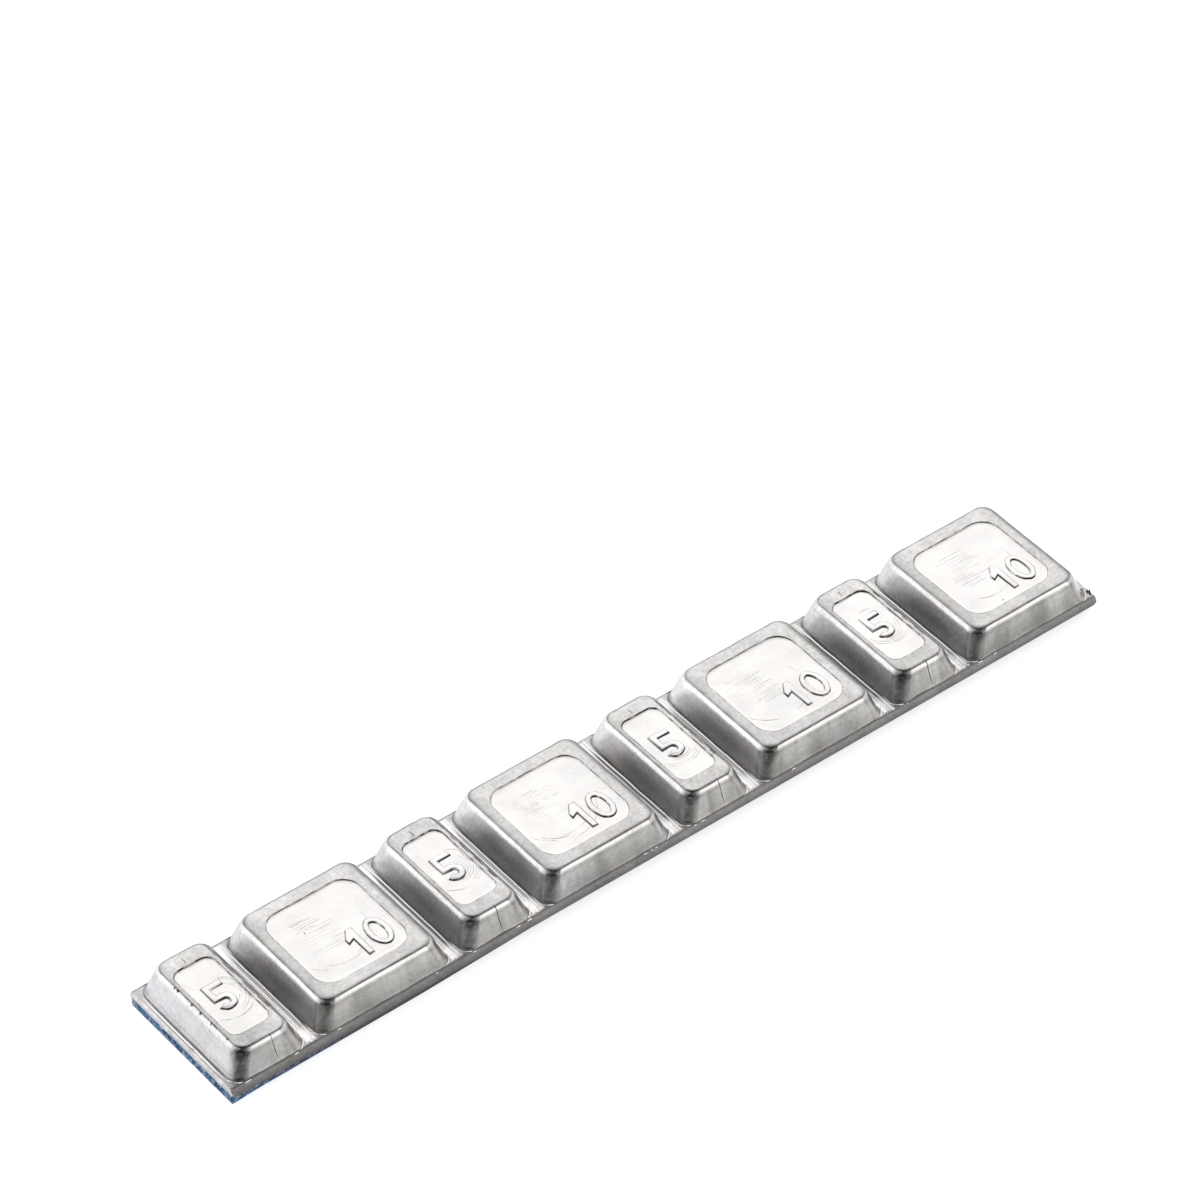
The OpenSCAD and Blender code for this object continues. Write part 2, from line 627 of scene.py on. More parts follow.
@dataclass(frozen=True)
class KindSizes:
    """What differs between the two kinds of segment.

    The panel is half its length, half its width and its corners' radius. The climb is the near
    wall's painted light: its tone at the foot and its rise per millimetre. The light starts are the
    places across the left and right walls where the far light begins. The corner lift is painted
    light on the left wall by the near corner. The outline's weight, for the painted shade line
    round the panel, is its least strength, what is added on one side, and that side's angle and
    spread.
    """

    length: float
    panel: tuple[float, float, float]
    sunk: float
    rim_bend: float
    climb: tuple[float, float]
    light_starts: tuple[float, float]
    light_tone: float
    corner_lift: float
    rim_shade: float
    line_weight: tuple[float, float, float, float]


KIND_SIZES = {
    SegmentKind.SMALL: KindSizes(
        length=9.8, panel=(2.62, 5.8, 1.25), sunk=0.2, rim_bend=1.0, climb=(0.705, 0.066),
        light_starts=(3.0, 3.2), light_tone=0.74, corner_lift=0.1, rim_shade=2.4,
        line_weight=(0.55, 0.45, Side.FAR, 55),
    ),
    SegmentKind.LARGE: KindSizes(
        length=18.2, panel=(6.05, 6.2, 2.3), sunk=0.15, rim_bend=2.6, climb=(0.535, 0.13),
        light_starts=(3.3, 2.8), light_tone=0.85, corner_lift=0.25, rim_shade=0.0,
        line_weight=(0.5, 0.5, 45, 32),
    ),
}


@dataclass(frozen=True)
class Step:
    """One step of a section: how far in, how high, and how far round the top edge it lies."""

    inset: float
    z: float
    turn: float = 0.0


@dataclass
class Segment:
    """One raised segment: foot, leaning walls, round edges, rim and sunk panel."""

    kind: SegmentKind
    middle: float
    number: int
    base_z: float = FOOT_Z
    height: float = 3.47
    width: float = 17.9
    corner: float = 1.7
    straight_foot: float = 0.2
    end_foot: float = 0.312
    end_start: float = 0.2
    end_slope: float = 0.355
    end_bends: tuple[float, float] = (0.45, 1.45)
    side_start: float = -0.06
    side_slope: float = 0.265
    side_bends: tuple[float, float, float] = (1.5, 0.5, 0.75)
    edge_angles: tuple[float, ...] = (4.0, 8.0, 12.0, 16.0, 20.0, 25.0, 30.0, 36.0, 42.0)
    # Painted light and shade: the left, right, near and far walls, the end face, the near corners and the
    # top edge each get a tone of their own, as light falls on them
    left_tone: float = 0.53
    right_tone: float = 0.34
    near_tone: float = 0.52
    far_tone: float = 0.5
    near_right_highlight_tone: float = 0.75
    end_tone: float = 0.66
    corner_shadow_tone: float = 0.16
    edge_highlight_tone: float = 0.8
    rim_tone: float = 0.66
    # The panel's fine edge line is painted shade
    shade_line_coat: Coat = Coat(0.15, 0.95, 0.0)
    panel_coat: Coat = Coat(0.765, 0.0, 0.9, 0.72)
    steps: Steps = (13, 24, 36)
    skin: Skin = field(default_factory=Skin)

    @property
    def sizes(self) -> KindSizes:
        """What the segment's kind settles."""
        return KIND_SIZES[self.kind]

    @property
    def label(self) -> str:
        """The end of the names of the segment's pieces."""
        return f"{self.number}_{self.kind.value}"

    @property
    def panel_z(self) -> float:
        """Height of the panel's floor."""
        return self.base_z + self.height - self.sizes.sunk

    @property
    def ends(self) -> list[Step]:
        """Section of the end walls."""
        bends = (self.sizes.rim_bend, *self.end_bends)
        return self.section(self.end_slope, self.end_start, self.end_foot, bends)

    @property
    def sides(self) -> list[Step]:
        """Section of the long walls, which stand straight on the flange."""
        return self.section(self.side_slope, self.side_start, 0.0, self.side_bends)

    def section(
        self, slope: float, start: float, foot: float, bends: tuple[float, float, float]
    ) -> list[Step]:
        """Work out half of the segment's section, from the foot to the rim.

        Args:
            slope: How far the wall leans in for each millimetre of height.
            start: Where the wall's line meets the foot.
            foot: Radius of the fillet, or 0 for a wall that stands straight on the flange.
            bends: Radii of the top edge: by the rim, at the turn and where it runs into the wall.

        Returns:
            Steps inward; two sections made with different sizes have as many steps.
        """
        tilt = math.degrees(math.atan2(1, slope))
        made: list[Step] = []
        for share in (k / 5 for k in range(6)):
            if foot:
                a = math.radians(tilt * share)
                made.append(Step(foot * math.sin(a), foot * (1 - math.cos(a))))
            else:
                made.append(Step(start + slope * self.straight_foot * share, self.straight_foot * share))
        turns: list[Step] = []
        inset, drop, last = 0.0, 0.0, 0.0
        turn_end = self.edge_angles[-1]
        wall_angles = [turn_end + (tilt - turn_end) * k / 6 for k in range(1, 7)]
        for angle in (*self.edge_angles, *wall_angles):
            a, b = math.radians(last), math.radians(angle)
            bend = bends[0] if angle < 13 else bends[1] if angle <= turn_end else bends[2]
            inset += bend * (math.sin(b) - math.sin(a))
            drop += bend * (math.cos(a) - math.cos(b))
            turns.append(Step(inset, drop, angle))
            last = angle
        low, high = made[-1].z, self.height - drop
        for k in range(1, 12):
            z = low + (high - low) * k / 11
            made.append(Step(start + slope * z, z))
        rim = start + slope * high + inset
        for step in reversed(turns[:-1]):
            made.append(Step(rim - step.inset, self.height - step.z, 1 - step.turn / tilt))
        made.append(Step(rim, self.height, 1.0))
        return made

    def near_wall(self, x: float, z: float) -> float:
        """Tone the near wall with painted light and shade: darker in the middle, in bands like reflections,
        with a painted dark line high up and a painted pale foot.

        Args:
            x: Place along the segment.
            z: Height above the flange.

        Returns:
            The tone.
        """
        middle = 1 - (x / self.sizes.length * 2) ** 2
        band = wobble(x * 0.55, self.number * 3.7, 0.0) + 0.5 * wobble(x * 1.7, self.number, 2.0)
        low, climb = self.sizes.climb
        tone = self.near_tone * (1.14 - 0.32 * middle) * (low + climb * z) * (1 + 0.4 * band)
        tone *= 1 - 0.22 * bell(z - 2.78, 0.15)
        return tone * (1 + 0.38 * bell(z, 0.3))

    def far_light(self, y: float, z: float, start: float) -> float:
        """Give the share of light on an end wall, which grows towards the far side and the top."""
        return clamp((y - start + 0.45 * (z - 1.8)) / 3.8)

    def left_wall(self, y: float, z: float) -> float:
        """Tone the left wall with painted light and shade: darker in the middle and at the foot, paler at
        the top, the near corner and the far side.

        Args:
            y: Place across the segment.
            z: Height above the flange.

        Returns:
            The tone.
        """
        tone = self.left_tone * (0.85 + 0.25 * min(1.0, z / 2.2))
        tone *= 1 - 0.24 * bell(z - 1.1, 0.6) * bell(y + 0.5, 4)
        tone *= 1 + 0.28 * clamp((z - 1.8) / 0.8)
        tone *= 1 + self.sizes.corner_lift * clamp((-y - 3.5) / 3)
        light = self.far_light(y, z, self.sizes.light_starts[0])
        tone += (self.sizes.light_tone - tone) * light * 0.62
        return tone * (1 - 0.6 * max(0.0, 1 - z / 0.3))

    def coat(self, way: float, x: float, y: float, z: float, turn: float) -> Coat:
        """Choose the coat of a wall or of the top edge, with its painted light and shade.

        Args:
            way: The way that the point faces, in degrees from +X.
            x: Its place along the segment.
            y: Its place across the segment.
            z: Its height above the flange.
            turn: How far round the top edge it lies, from 0 to 1.

        Returns:
            The coat.
        """
        first = self.number == 1
        right_light = self.far_light(y, z, self.sizes.light_starts[1])
        # Painted light and shade: the walls' tones and warmths, mixed by the way each point faces
        walls = (
            (aimed(way, Side.LEFT, 45), self.end_tone if first else self.left_wall(y, z), 0.15),
            (aimed(way, Side.RIGHT, 14), self.right_tone + (0.8 - self.right_tone) * right_light, 0.5),
            (aimed(way, Side.NEAR, 52), self.near_wall(x, z), 0.85),
            (aimed(way, Side.FAR, 50), self.far_tone, 0.6),
            # Painted highlight on the near right corner
            (aimed(way, -38, 24) * 1.5, self.near_right_highlight_tone, 0.7),
        )
        total = sum(share for share, _, _ in walls)
        tone = sum(share * wall for share, wall, _ in walls) / total
        warmth = sum(share * warm for share, _, warm in walls) / total
        # Painted shade at the near left corner, darker on the first segment
        dark = self.corner_shade(way, x, y, z)
        corner = self.corner_shadow_tone * (1 - 0.6 * clamp(z - 1.9)) * (0.55 if first else 1.0)
        tone += (corner - tone) * dark
        if turn > 0:
            rim = self.rim(way, x, y).tone
            # Painted highlight along the top edge, a painted dark line just inside it, and painted shade on
            # the right edge
            edge = self.edge_highlight_tone + 0.1 * aimed(way, Side.NEAR, 45)
            top = edge + (rim - edge) * turn ** 3
            clear = clamp((turn - 0.72) / 0.25)
            tone += (top - tone) * min(1.0, turn * 3) * (1 - dark * (1 - clear))
            tone *= 1 - 0.74 * bell(turn - 0.76, 0.13) * (0.75 + 0.25 * patchy(x, y, 1.5, self.number))
            tone *= 1 - 0.8 * aimed(way, Side.RIGHT, 40) * (1 - turn) ** 0.6
            warmth += (0.6 - warmth) * turn
        # Painted shade along the foot, less on the near side
        soil_and_shade = max(0.0, 1 - z / 0.15) * (0.65 - 0.5 * aimed(way, Side.NEAR, 30))
        return Coat(tone, soil_and_shade, 0.25, warmth)

    def corner_shade(self, way: float, x: float, y: float, z: float) -> float:
        """Give the shade of the near left corner, which runs out along both its walls.

        Args:
            way: The way that the point faces, in degrees from +X.
            x: Its place along the segment.
            y: Its place across the segment.
            z: Its height above the flange.

        Returns:
            A share from 0 to 1.
        """
        if abs(way - Side.NEAR) < 3:
            way += clamp(24 * (x + self.sizes.length / 2 - self.corner), high=70.0)
        elif abs(abs(way) - Side.LEFT) < 3:
            way -= clamp(24 * (y + self.width / 2 - self.corner), high=70.0)
        grain = 1 + 0.25 * wobble(x * 3, y * 3, z * 2) + 0.2 * wobble(x * 8, y * 8, z * 6)
        return min(1.0, aimed(way, -125, 38 + 14 * max(0.0, z - 1.8)) * grain)

    def rim(self, way: float, x: float, y: float) -> Coat:
        """Choose the coat of the rim, with painted shade at the left and near sides, and mottled all over.

        Args:
            way: The way that the point faces, in degrees from +X.
            x: Its place along the segment.
            y: Its place across the segment.

        Returns:
            The coat.
        """
        mottle = wobble(x * 0.9, y * 0.9, self.number * 2.0) + wobble(x * 2.6, y * 2.6, 4.0)
        near = aimed(way, Side.NEAR, 50)
        near *= 1 + self.sizes.rim_shade * clamp(0.4 - x / self.sizes.length)
        tone = self.rim_tone * (1 - 0.16 * aimed(way, Side.LEFT, 45) - 0.08 * near) * (1 + 0.09 * mottle)
        return Coat(tone, 0.0, 0.15, 0.65)

    def floor_coat(self, _way: float, x: float, y: float) -> Coat:
        """Choose the coat of the panel's floor, paler and pinker or creamier by patches.

        Args:
            _way: The way that the point faces, which makes no difference here.
            x: Its place along the segment.
            y: Its place across the segment.

        Returns:
            The coat.
        """
        base = self.panel_coat
        tint = wobble(x * 0.35, y * 0.6, self.number * 5.0)
        return replace(base, tone=base.tone * (1 + 0.05 * tint), warmth=base.warmth + 0.5 * tint)

    def step_down(self) -> list[list[int]]:
        """Drop from the rim to the panel, along a fine line of painted shade that comes and goes.

        Returns:
            The rings, from the rim inward.
        """
        half_l, half_w, radius = self.sizes.panel
        least, more, aim, reach = self.sizes.line_weight
        floor = self.height - self.sizes.sunk
        drop = (
            (0.1, self.height, 0.0), (0.07, self.height - 0.003, None), (0.0, self.height - 0.02, 1.0),
            (-0.012, floor + 0.01, 1.0), (-0.045, floor, 0.0),
        )
        rings: list[list[int]] = []
        for grow, z, full in drop:
            outline = rounded_outline(half_l + grow, half_w + grow, radius, self.steps)
            ring: list[int] = []
            for (x, y), way in zip(outline, facing(outline)):
                seen = aimed(way, -150, 110)
                drift = 0.06 * wobble(x * 1.3, y * 1.3, self.number + 0.5)
                pull = 1 - (1 - seen) * 0.06 if grow > 0.03 else 1.0
                spread = (1 + drift / max(half_l, half_w) * 0.5) * pull ** 0.2
                line = (seen if full is None else full) * (least + more * aimed(way, aim, reach))
                line *= 0.3 + 0.7 * patchy(x, y, 0.7, self.number * 1.9, -0.2, 0.2)
                coat = (self.rim(way, x, y) if grow > 0 else self.panel_coat).toward(self.shade_line_coat, line)
                ring.append(self.skin.point(x * spread, y * spread, z, coat))
            rings.append(ring)
        return rings

    def build(self, material: bpy.types.Material) -> bpy.types.Object:
        """Make the segment.

        Args:
            material: The metal finish.

        Returns:
            The piece.
        """
        skin = self.skin
        half_l, half_w = self.sizes.length / 2, self.width / 2
        outline = rounded_outline(half_l, half_w, self.corner, self.steps)
        rings = [skin.ring(outline, -0.3, Coat(0.4))]
        for end, side in zip(self.ends, self.sides):
            radius = self.corner - 0.5 * end.turn
            outline = rounded_outline(half_l - end.inset, half_w - side.inset, radius, self.steps)
            ring: list[int] = []
            for (x, y), way in zip(outline, facing(outline)):
                z = end.z + (side.z - end.z) * math.sin(math.radians(way)) ** 2
                ring.append(skin.point(x, y, z, self.coat(way, x, y, z, end.turn)))
            rings.append(ring)
        half_l, half_w, radius = self.sizes.panel
        lip = rounded_outline(half_l + 0.03, half_w + 0.03, radius, self.steps)
        for share in (0.35, 0.7, 0.92):
            blend = [partway(a, b, share) for a, b in zip(outline, lip)]
            rings.append(skin.ring(blend, self.height, self.rim))
        rings += self.step_down()
        floor = self.height - self.sizes.sunk
        inner = rounded_outline(half_l - 0.06, half_w - 0.06, radius, self.steps)
        for factor in (0.93, 0.8, 0.65, 0.5, 0.35, 0.2, 0.08):
            smaller = [(x * factor, y * factor) for x, y in inner]
            rings.append(skin.ring(smaller, floor, self.floor_coat))
        skin.loft(rings)
        skin.fan(rings[-1], skin.point(0.0, 0.0, floor, self.panel_coat))
        skin.roughen(2.4, 0.03, self.number * 7.1, self.height)
        skin.roughen(0.6, 0.012, self.number * 3.3, self.height)
        skin.move(self.middle, 0.0, self.base_z)
        return skin.piece(f"segment_{self.label}", material, "cast_metal")


@dataclass
class Figures:
    """The raised figures on a panel; the profile's rows are inset, share of the rise, and paleness."""

    segment: Segment
    large_size: float = 4.5
    small_size: float = 4.4
    one_at: Point2 = (-0.19, -5.05)
    nought_at: Point2 = (2.16, -5.05)
    stroke: float = 0.85
    rise: float = 0.19
    top_coat: Coat = Coat(0.80, 0.0, 0.6, 0.6)
    profile: tuple[tuple[float, float, float], ...] = (
        (0.0, 0.0, 0.0), (0.02, 0.35, 0.0), (0.06, 0.7, 0.05), (0.12, 0.93, 0.6), (0.2, 1.0, 1.0)
    )
    skin: Skin = field(default_factory=Skin)

    def side(self, share: float, sign: float) -> CoatRule:
        """Give the rule for a figure's side, with painted shade on its near parts, and pale towards its
        top.

        Args:
            share: How pale this height is, from 0 to 1.
            sign: 1 for an outer side, -1 for the side of a hole.

        Returns:
            The rule.
        """

        def rule(way: float, x: float, y: float) -> Coat:
            """Choose the coat of one point.

            Args:
                way: The way that it faces, in degrees from +X.
                x: Its place along X.
                y: Its place along Y.

            Returns:
                The coat.
            """
            # Painted shade on the sides that face the near side
            shade = max(0.0, -sign * math.sin(math.radians(way + 12)))
            coat = Coat(0.4 - 0.3 * shade, 0.35 + 0.65 * shade, 0.1).toward(self.top_coat, share)
            gap = 1 - patchy(x, y, 0.55, self.segment.number * 2.3, -0.4, 0.0)
            return coat.toward(self.top_coat, gap * 0.85)

        return rule

    def rise_rings(self, outline: Sequence[Point2], sign: float) -> list[list[int]]:
        """Add the rings that climb a figure's side.

        Args:
            outline: The figure's outline, anticlockwise.
            sign: 1 for an outer side, -1 for the side of a hole.

        Returns:
            The rings from the bottom up.
        """
        rings = [self.skin.ring(outline, -0.08, self.top_coat)]
        for inset, height, share in self.profile:
            moved = offset_outline(outline, inset * sign)
            rings.append(self.skin.ring(moved, self.rise * height, self.side(share, sign)))
        return rings

    def plate(self, outline: Sequence[Point2]) -> None:
        """Raise a solid figure from its outline.

        Args:
            outline: Its points, anticlockwise.
        """
        rings = self.rise_rings(outline, 1.0)
        self.skin.loft(rings)
        self.skin.cap(rings[-1])

    def hoop(self, outer: Sequence[Point2], inner: Sequence[Point2]) -> None:
        """Raise a figure with a hole.

        Args:
            outer: Its outer outline, anticlockwise.
            inner: The hole, with as many points.
        """
        rings = self.rise_rings(outer, 1.0) + self.rise_rings(inner, -1.0)[::-1]
        for a, b in zip(rings, rings[1:] + rings[:1]):
            self.skin.bridge(a, b)

    def one(self, x: float, y: float, size: float) -> list[Point2]:
        """Outline a 1.

        Args:
            x: Its left edge.
            y: Its foot.
            size: Its height.

        Returns:
            The points, anticlockwise.
        """
        s, flag, drop = self.stroke, size * 0.19, size * 0.28
        low = size - drop - s
        shape = [(flag, 0), (flag + s, 0), (flag + s, size), (flag, size), (0, size - drop), (0, low)]
        return [(x + a, y + b) for a, b in shape + [(flag, low + s / 2)]]

    def nought(self, x: float, y: float, size: float, inset: float) -> list[Point2]:
        """Draw the oval of a 0.

        Args:
            x: Its left edge.
            y: Its foot.
            size: Its height.
            inset: How far it is drawn in.

        Returns:
            The points, anticlockwise.
        """
        a, b = size * 0.63 / 2, size / 2
        angles = [math.radians(7.5 * k) for k in range(48)]
        return [(x + a + (a - inset) * math.cos(t), y + b + (b - inset) * math.sin(t)) for t in angles]

    def five(self, x: float, y: float, size: float) -> list[Point2]:
        """Outline a 5.

        Args:
            x: Its left edge.
            y: Its foot.
            size: Its height.

        Returns:
            The points, anticlockwise.
        """
        s, width = self.stroke, size * 0.58
        r = width / 2
        start = math.degrees(math.atan2(math.sqrt(r * r - (s - r) ** 2), s - r))
        outer = arc(r, r, r, start, -158, 30)
        inner = arc(r, r, r - s, -158, 90, 22)
        shape = [(0, size), (0, r + r - s), *reversed(inner), *reversed(outer)]
        shape += [(s, size - s), (width, size - s), (width, size)]
        return [(x + a, y + b) for a, b in shape]

    def build(self, material: bpy.types.Material) -> bpy.types.Object:
        """Make the figures of one segment.

        Args:
            material: The metal finish.

        Returns:
            The piece.
        """
        seg, skin = self.segment, self.skin
        if seg.kind is SegmentKind.LARGE:
            size = self.large_size
            self.plate(self.one(*self.one_at, size))
            inner = self.nought(*self.nought_at, size, self.stroke - 0.08)
            self.hoop(self.nought(*self.nought_at, size, 0.0), inner)
        else:
            size = self.small_size
            self.plate(self.five(-size * 0.29, -size / 2, size))
        skin.roughen(1.2, 0.06, seg.number * 5.7)
        skin.roughen(0.4, 0.035, seg.number * 2.9, seg.sizes.sunk)
        skin.move(seg.middle, 0.0, seg.panel_z)
        return skin.piece(f"figures_{seg.label}", material, "cast_metal", 35.0)


@dataclass
class ToolMarks:
    """Fine raised lines that the mould's cutter left on a panel, and the split across a small segment."""

    segment: Segment
    faint: Coat = Coat(0.71, 0.02, 0.6, 0.7)
    bright: Coat = Coat(0.8, 0.0, 0.8, 0.4)
    cut: Coat = Coat(0.56, 0.06, 0.5, 0.8)
    crack: Coat = Coat(0.3, 0.7, 0.0)
    rise: float = 0.012
    margin: float = 0.12
    first_seed: int = 40
    skin: Skin = field(default_factory=Skin)
    dice: random.Random = field(init=False)

    def __post_init__(self) -> None:
        """Seed the dice by the segment's number."""
        self.dice = random.Random(self.first_seed + self.segment.number)

    def inside(self, x: float, y: float) -> bool:
        """Tell whether a place lies on the panel's floor.

        Args:
            x: Place along the segment.
            y: Place across the segment.

        Returns:
            True where a line may lie.
        """
        half_l, half_w, radius = self.segment.sizes.panel
        dx, dy = abs(x) - (half_l - radius), abs(y) - (half_w - radius)
        return max(math.hypot(max(dx, 0.0), max(dy, 0.0)), dx, dy) < radius - self.margin

    def line(self, spots: Sequence[Point2], width: float, coat: Coat) -> None:
        """Lay a line on the panel, where it lies inside.

        Args:
            spots: Places along it.
            width: Its full width.
            coat: Its coat.
        """
        run = [(x, y, 0.0) for x, y in spots if self.inside(x, y)]
        if len(run) > 4:
            self.skin.ridge(run, width, self.rise, coat)

    def arcs(self) -> None:
        """Turn arcs about the figure of a small panel, or in the near left of a large one."""
        if self.segment.kind is SegmentKind.SMALL:
            cx, cy, least, most, radii = 0.1, -0.3, 70, 190, (1.75, 2.1, 2.4, 2.75, 3.0, 3.3)
        else:
            cx, cy, least, most, radii = -1.2, 0.3, 35, 80, (4.4, 4.7, 5.0, 5.3)
        for index, radius in enumerate(radii):
            start = -110 + self.dice.uniform(-60, 90)
            end = start + self.dice.uniform(least, most)
            coat = self.cut.toward(self.bright, self.dice.random() * 0.7)
            self.line(arc(cx, cy, radius, start, end, 40), 0.1 if index % 2 else 0.07, coat)

    def hatch(self) -> None:
        """Rule cutter lines along a large panel."""
        dice = self.dice
        lean = dice.uniform(-0.04, 0.02)
        for k in range(16):
            y = -1.6 + 0.36 * k + dice.uniform(-0.08, 0.08)
            start = -3.9 + dice.uniform(-0.5, 0.9)
            length = dice.uniform(2.4, 4.8)
            spots = [(start + length * t / 12, y + lean * length * t / 12) for t in range(13)]
            self.line(spots, dice.uniform(0.04, 0.08), self.faint.toward(self.bright, dice.random()))

    def split(self) -> None:
        """Run the split line down the near wall and over the far rim of a small segment."""
        seg = self.segment
        rim = seg.sizes.sunk
        x = 0.75 + 0.25 * math.sin(seg.number * 1.7) - 0.3
        near = [
            (x + 0.35 * (1 - q.z / seg.height) ** 2, q.inset - seg.width / 2 - 0.02, q.z - seg.height + rim)
            for q in seg.sides if q.z > 0.3
        ]
        self.skin.ridge(near, 0.1, 0.03, self.crack)
        far = [(-0.2 + 0.1 * math.sin(2 * k), 6.0 + 0.12 * k, rim) for k in range(10)]
        self.skin.ridge(far, 0.09, 0.014, self.crack)

    def rim_lines(self) -> None:
        """Draw broken fine lines along the right rim of a small panel."""
        seg, dice = self.segment, self.dice
        edge = [q for q in seg.ends if q.turn > 0.7]
        for q, width in ((edge[-2], 0.1), (edge[1], 0.12)):
            z = q.z - seg.height + seg.sizes.sunk
            y = -4.6
            while y < 5.4:
                reach = dice.uniform(0.8, 3.0)
                x = seg.sizes.length / 2 - q.inset + dice.uniform(-0.04, 0.04)
                self.skin.ridge([(x, y + reach * k / 10, z) for k in range(11)], width, 0.028, self.crack)
                y += reach + dice.uniform(0.1, 1.2)

    def build(self, material: bpy.types.Material) -> bpy.types.Object:
        """Make the marks of one segment.

        Args:
            material: The metal finish.

        Returns:
            The piece.
        """
        seg = self.segment
        self.arcs()
        if seg.kind is SegmentKind.LARGE:
            self.hatch()
        else:
            self.split()
            self.rim_lines()
        self.skin.move(seg.middle, 0.0, seg.panel_z)
        return self.skin.piece(f"marks_{seg.label}", material, "cast_metal")


@dataclass
class Web:
    """The thin metal between two feet, with its bend line, bead and rough near end.

    The lines' rows are the distance from the left foot, the rise and the coat.
    """

    left: float
    right: float
    number: int
    skin: Skin
    dice: random.Random
    level: float = FOOT_Z
    reach: float = 8.75
    count: int = 120
    lines: tuple[tuple[float, float, Coat], ...] = (
        (-0.1, 0.01, Coat(0.5, 0.4, 0.2)),
        (0.06, 0.04, Coat(0.7, 0.1, 0.4, 0.8)),
        (0.16, 0.08, Coat(1.0, 0.0, 0.7, 0.8)),
        (0.26, 0.08, Coat(1.0, 0.0, 0.7, 0.8)),
        (0.36, 0.05, Coat(0.75, 0.0, 0.5, 0.8)),
        (0.55, 0.05, Coat(0.85, 0.0, 0.5, 0.8)),
        (0.72, 0.05, Coat(0.8, 0.0, 0.5, 0.8)),
        (0.78, 0.03, Coat(0.4, 0.3, 0.3)),
        (0.83, 0.04, Coat(0.6, 0.1, 0.4, 0.8)),
        (0.93, 0.04, Coat(0.6, 0.1, 0.4, 0.8)),
        (0.98, 0.03, Coat(0.3, 0.6, 0.2)),
        (1.03, 0.07, Coat(0.9, 0.0, 0.6, 0.8)),
        (1.07, 0.11, Coat(1.0, 0.0, 0.7, 0.8)),
        (1.16, 0.11, Coat(1.0, 0.0, 0.7, 0.8)),
        # The dark rows from 1.21 on, by the next segment's foot, are painted shade in the crease
        (1.21, 0.05, Coat(0.5, 0.3, 0.3)),
        (1.25, 0.02, Coat(0.2, 0.8, 0.1)),
        (1.33, 0.03, Coat(0.4, 0.4, 0.1)),
        (1.5, 0.01, Coat(0.2, 0.8, 0.1)),
    )
    unshaded_coat: Coat = Coat(0.97, 0.0, 0.7, 0.9)
    flash: Coat = Coat(1.0, 0.0, 0.6)
    groove: Coat = Coat(0.25, 0.6, 0.2)
    shadow: Coat = Coat(0.0, 0.0, 0.4)

    def build(self) -> None:
        """Lay the web's skin on the flange."""
        skin = self.skin
        even = self.number % 2 == 0
        scale = (self.right - self.left) / WEB_GAP
        sections: list[list[int]] = []
        for k in range(self.count + 1):
            y = -self.reach + 2 * self.reach * k / self.count
            shift = self.left + 0.05 * wobble(y * 0.4, self.number * 3.0, 0.0)
            # Painted light and shade: paler towards the open near and far ends, darker in the middle of
            # every second web
            near = clamp((-6.1 - y) / 1.1)
            clear = max(near, clamp((y - 5.5) / 2.0) * 0.8)
            shadow_share = (0.15 if even else 0.0) * (1 - clear) * clamp((2.5 - y) / 5.0)
            warmth = 0.45 + 0.2 * math.sin(y * 0.9 + self.number)
            low = self.level - 0.05
            ring = [skin.point(u * scale + shift, y, low, self.unshaded_coat) for u in (1.5, -0.1)]
            for u, rise, coat in self.lines:
                lift = rise * (1 - 0.5 * near) + 0.03 * near * abs(wobble(u * 3, y * 3, self.number))
                if even and 0.75 < u < 1.0:
                    coat = coat.toward(self.groove, 0.7)
                shown = coat.toward(self.unshaded_coat, clear * 0.85).toward(self.shadow, shadow_share)
                shown = replace(shown, warmth=warmth)
                ring.append(skin.point(u * scale + shift, y, self.level + lift, shown))
            sections.append(ring)
        skin.sweep(sections)
        self.burrs()

    def burrs(self) -> None:
        """Leave bits of flash at the near end of the web."""
        dice = self.dice
        for _ in range(5):
            x = dice.uniform(self.left + 0.1, self.right - 0.1)
            y = dice.uniform(-8.85, -8.3)
            turn = math.radians(dice.uniform(-70, 40))
            size = dice.uniform(0.15, 0.45)
            path = [
                (x + t * math.cos(turn), max(-8.9, y + t * math.sin(turn)), self.level + 0.03)
                for t in (size * k / 5 for k in range(6))
            ]
            self.skin.ridge(path, dice.uniform(0.08, 0.16), dice.uniform(0.05, 0.12), self.flash)


